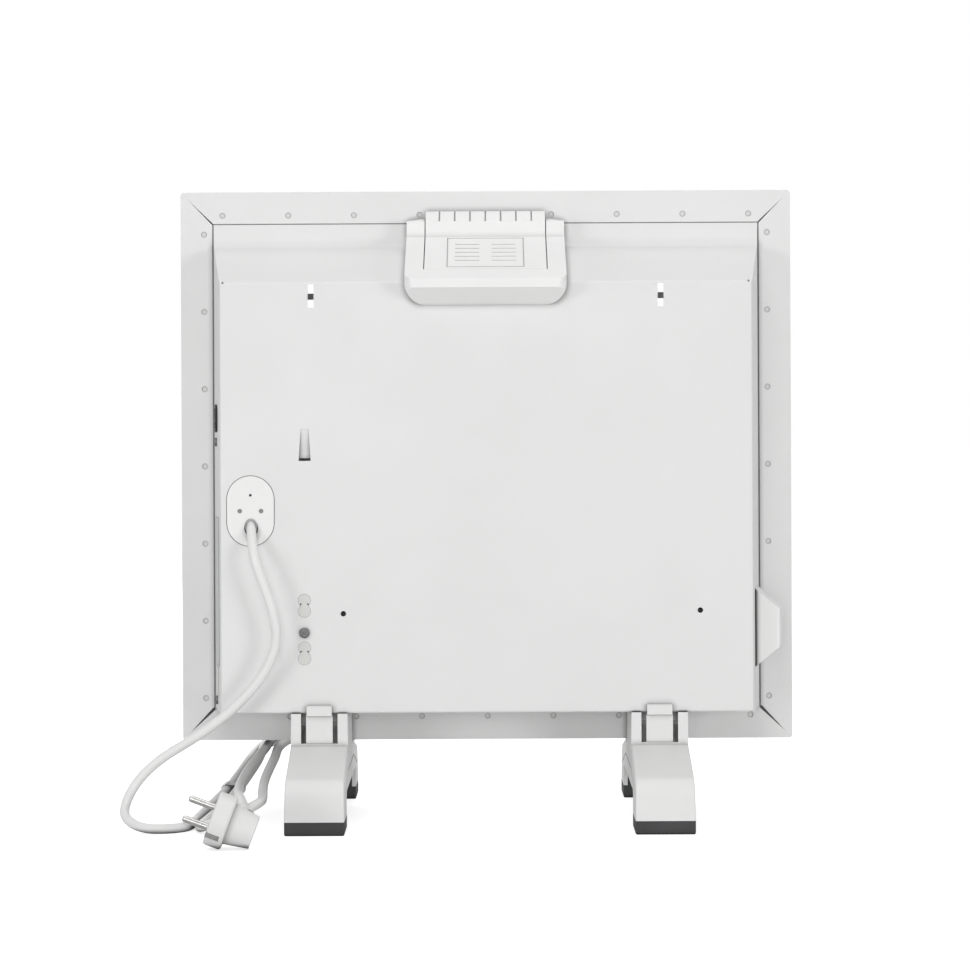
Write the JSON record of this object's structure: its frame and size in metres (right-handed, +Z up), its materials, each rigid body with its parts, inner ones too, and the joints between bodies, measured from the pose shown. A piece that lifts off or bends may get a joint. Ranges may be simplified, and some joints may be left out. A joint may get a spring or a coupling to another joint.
{
  "type": "convector heater",
  "caption": "Free-standing electric convector heater: flat front panel with outlet slots, tapered rear casing, pull-out control unit, unplugging legs and a folded mains cord.",
  "frame": {"origin": "middle of the heater's footprint, on the surface that it stands on", "axes": "+X to the right seen from the front, -Y towards the room (front panel), +Y towards the wall, +Z up"},
  "size_m": [0.4946, 0.3222, 0.4647],
  "materials": {
    "panel_paint": "smooth white powder coat",
    "leg_plastic": "fine satin white",
    "foot_rubber": "matt dark grey",
    "unit_plastic": "satin white",
    "fascia_plastic": "semi-gloss white",
    "display_black": "gloss black",
    "button_plastic": "satin light grey",
    "board_green": "matt green",
    "pin_brass": "bright",
    "pin_nickel": "bright nickel plate",
    "socket_plastic": "satin off-white",
    "switch_black": "semi-gloss black",
    "plate_silver": "satin silver-grey film",
    "seal_film": "satin pale film",
    "screw_steel": "zinc plate",
    "screw_dark": "dark steel",
    "cord_pvc": "smooth white",
    "tie_clear": "clear film",
    "plug_white": "satin white",
    "element_aluminium": "as extruded",
    "rod_steel": "bright rod",
    "ceramic": "unglazed ceramic",
    "bracket_steel": "galvanised sheet",
    "cutout_brown": "phenolic",
    "block_plastic": "matt cream"
  },
  "bodies": {
    "heater": {"front_panel": "panel_paint", "rear_casing": "panel_paint", "control_socket": "socket_plastic", "switch_bezel": "switch_black", "sensor_cover": "unit_plastic", "sensor_bead": "switch_black", "rating_plate": "plate_silver", "seal_sticker": "seal_film", "side_screws": "screw_steel", "cord_plate": "unit_plastic", "cord_plate_screws": "screw_steel", "tip_over_base": "socket_plastic", "tip_over_switch": "switch_black", "tip_over_screw": "screw_dark", "heating_element": "element_aluminium", "element_core": "rod_steel", "element_bushes": "ceramic", "element_terminals": "pin_nickel", "element_bracket_right": "bracket_steel", "element_bracket_left": "bracket_steel", "thermal_cutout": "cutout_brown", "terminal_block": "block_plastic", "terminal_screws": "pin_brass", "earth_stud": "pin_brass", "power_cord": "cord_pvc", "cord_hank": "cord_pvc", "cord_sleeve": "cord_pvc", "cord_tie": "tie_clear", "plug_body": "plug_white", "plug_pins": "pin_nickel", "plug_earth": "pin_nickel"},
    "control_unit": {"control_housing": "unit_plastic", "control_fascia": "fascia_plastic", "display_window": "display_black", "control_board": "board_green", "control_plug": "unit_plastic", "control_pins": "pin_brass"},
    "leg_right": {"leg_shell_right": "leg_plastic", "foot_pad_rear_right": "foot_rubber", "foot_pad_front_right": "foot_rubber"},
    "leg_left": {"leg_shell_left": "leg_plastic", "foot_pad_rear_left": "foot_rubber", "foot_pad_front_left": "foot_rubber"},
    "release_tab": {"release_tab": "unit_plastic"},
    "button_power": {"button_power": "button_plastic"},
    "button_mode": {"button_mode": "button_plastic"},
    "button_minus": {"button_minus": "button_plastic"},
    "button_plus": {"button_plus": "button_plastic"},
    "mains_rocker": {"mains_rocker": "switch_black"},
    "latch_right": {"latch_tongue_right": "leg_plastic"},
    "latch_left": {"latch_tongue_left": "leg_plastic"}
  },
  "joints": [
    {"name": "control_unit_pull", "type": "slide", "parent": "heater", "child": "control_unit", "axis": [0, 1, 0], "range_m": [0, 0.11]},
    {"name": "release_tab_flex", "type": "hinge", "parent": "control_unit", "child": "release_tab", "pos_m": [0, 0.05039, 0.4033], "axis": [1, 0, 0], "range_deg": [0, 1.8], "stiffness_Nm_per_rad": 4},
    {"name": "mains_rocker_tilt", "type": "hinge", "parent": "heater", "child": "mains_rocker", "pos_m": [0.19745, 0.00562, 0.2946], "axis": [-0.1364, 0.9907, 0], "range_deg": [0, 14]},
    {"name": "leg_right_pull", "type": "slide", "parent": "heater", "child": "leg_right", "axis": [0, 0, -1], "range_m": [0, 0.045]},
    {"name": "leg_left_pull", "type": "slide", "parent": "heater", "child": "leg_left", "axis": [0, 0, -1], "range_m": [0, 0.045]},
    {"name": "latch_right_flex", "type": "hinge", "parent": "leg_right", "child": "latch_right", "pos_m": [0.123, 0.046, 0.057], "axis": [-1, 0, 0], "range_deg": [0, 6], "stiffness_Nm_per_rad": 0.6},
    {"name": "latch_left_flex", "type": "hinge", "parent": "leg_left", "child": "latch_left", "pos_m": [-0.1258, 0.046, 0.057], "axis": [-1, 0, 0], "range_deg": [0, 6], "stiffness_Nm_per_rad": 0.6},
    {"name": "button_power_press", "type": "slide", "parent": "control_unit", "child": "button_power", "axis": [0, 1, 0], "range_m": [0, 0.0008], "stiffness_N_per_m": 1500},
    {"name": "button_mode_press", "type": "slide", "parent": "control_unit", "child": "button_mode", "axis": [0, 1, 0], "range_m": [0, 0.0008], "stiffness_N_per_m": 1500},
    {"name": "button_minus_press", "type": "slide", "parent": "control_unit", "child": "button_minus", "axis": [0, 1, 0], "range_m": [0, 0.0008], "stiffness_N_per_m": 1500},
    {"name": "button_plus_press", "type": "slide", "parent": "control_unit", "child": "button_plus", "axis": [0, 1, 0], "range_m": [0, 0.0008], "stiffness_N_per_m": 1500}
  ]
}
